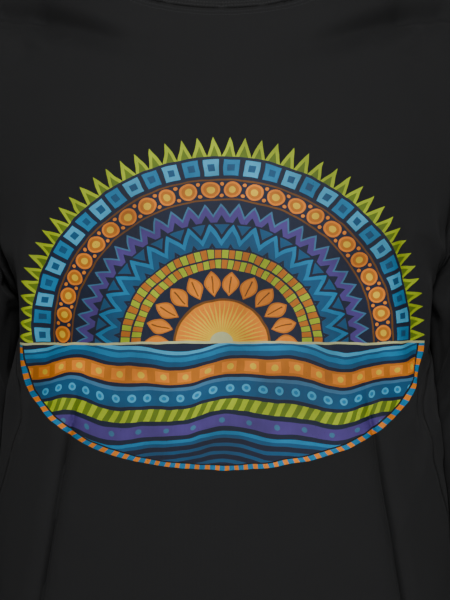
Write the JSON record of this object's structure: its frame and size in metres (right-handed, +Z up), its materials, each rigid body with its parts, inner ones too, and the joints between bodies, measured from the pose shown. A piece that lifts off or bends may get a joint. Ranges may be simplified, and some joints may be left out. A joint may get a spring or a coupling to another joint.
{
  "type": "long-sleeved t-shirt",
  "caption": "Loose black jersey shirt with long sleeves, a wide ribbed round neck, ribbed cuffs and a bright abstract print across the chest, held in the shape it has when worn.",
  "frame": {"origin": "midway between the two points where the shoulder seams meet the neckband", "axes": "+Z up along the wearer, -Y towards the front, +X towards the wearer's left"},
  "size_m": [0.5922, 0.2934, 0.7141],
  "materials": {
    "jersey": "matte single jersey",
    "rib_knit": "matte ribbed knit",
    "tape": "matte woven tape"
  },
  "bodies": {
    "root": {"front_panel": "jersey", "back_panel": "jersey", "sleeve_left": "jersey", "sleeve_right": "jersey", "cuff_left": "rib_knit", "cuff_right": "rib_knit", "neckband": "rib_knit", "neck_tape": "tape"}
  },
  "joints": []
}
